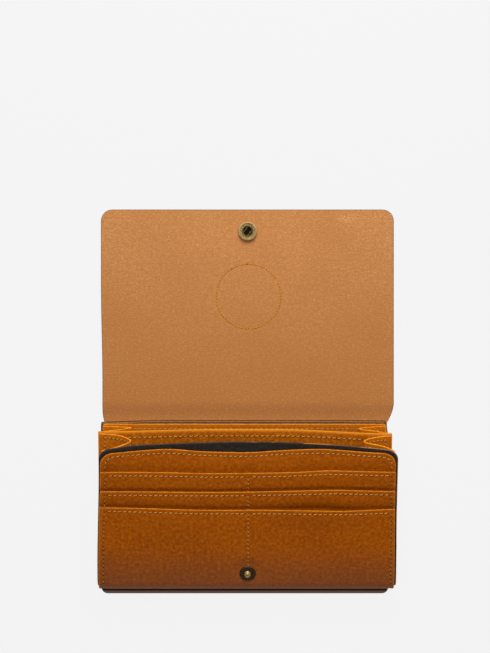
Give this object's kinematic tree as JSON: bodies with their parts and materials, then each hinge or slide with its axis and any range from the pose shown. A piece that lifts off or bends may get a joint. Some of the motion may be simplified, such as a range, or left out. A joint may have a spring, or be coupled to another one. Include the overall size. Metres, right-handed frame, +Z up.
{
  "type": "long wallet",
  "caption": "Long leather wallet lying open: fold-over snap flap, gusseted pouch with a divider, stepped card pockets, slip pocket and round sewn patch.",
  "frame": {"origin": "centre of the bounding box's bottom face, on the surface the open wallet lies on", "axes": "+Y from the pouch's lower edge towards the flap's free edge, +Z up out of the surface, +X to the right with the card pockets facing up"},
  "size_m": [0.192, 0.2536, 0.044],
  "materials": {
    "shell_leather": "raw suede inside, black grain outside, black painted edge",
    "panel_leather": "waxed tan grain, darker towards the bend",
    "lining_leather": "orange tan, satin",
    "black_leather": "fine black grain with a dark raw edge",
    "linen_thread": "waxed pale gold linen",
    "antique_brass": "antiqued, dark in the hollows",
    "spring_wire": "drawn wire"
  },
  "bodies": {
    "back": {"shell_back": "shell_leather", "pocket_wrap_back": "panel_leather", "body_wrap_back": "black_leather", "back_lining": "lining_leather", "lining_hem_thread": "linen_thread", "gusset_rear_left": "lining_leather", "gusset_rear_right": "lining_leather"},
    "spine": {"shell_spine": "shell_leather"},
    "flap": {"shell_flap": "shell_leather", "round_patch": "panel_leather", "patch_thread": "linen_thread", "snap_cap": "antique_brass", "snap_socket": "antique_brass", "socket_spring": "spring_wire"},
    "divider": {"divider_rear_leaf": "lining_leather", "divider_front_leaf": "lining_leather", "divider_hem_thread": "linen_thread", "gusset_front_left": "lining_leather", "gusset_front_right": "lining_leather"},
    "front": {"body_wrap_front": "black_leather", "card_base": "panel_leather", "card_strip_1": "panel_leather", "card_strip_2": "panel_leather", "outer_front": "panel_leather", "snap_stud": "antique_brass", "stud_rivet": "antique_brass", "base_hem_thread": "linen_thread", "strip_1_thread_left": "linen_thread", "strip_1_thread_right": "linen_thread", "strip_2_thread_left": "linen_thread", "strip_2_thread_right": "linen_thread", "strip_3_thread_left": "linen_thread", "strip_3_thread_right": "linen_thread", "side_thread_left": "linen_thread", "side_thread_right": "linen_thread", "centre_thread": "linen_thread"}
  },
  "joints": [
    {"name": "flap_fold", "type": "hinge", "parent": "back", "child": "spine", "pos_m": [0, -0.0097, 0.0031], "axis": [1, 0, 0], "range_deg": [0, 100]},
    {"name": "spine_fold", "type": "hinge", "parent": "spine", "child": "flap", "pos_m": [0, 0.0173, 0.0031], "axis": [1, 0, 0], "range_deg": [0, 84.3]},
    {"name": "divider_tilt", "type": "hinge", "parent": "back", "child": "divider", "pos_m": [0, -0.1139, 0.0098], "axis": [1, 0, 0], "range_deg": [-6.8, 0], "deforming": ["gusset_rear_left", "gusset_rear_right"]},
    {"name": "front_tilt", "type": "hinge", "parent": "back", "child": "front", "pos_m": [0, -0.1139, 0.0098], "axis": [1, 0, 0], "range_deg": [-13.35, 0], "deforming": ["gusset_front_left", "gusset_front_right"]}
  ],
  "couplings": [
    {"joint": "spine_fold", "follows": "flap_fold", "ratio": 0.843},
    {"joint": "divider_tilt", "follows": "flap_fold", "ratio": -0.068},
    {"joint": "front_tilt", "follows": "flap_fold", "ratio": -0.1335}
  ]
}
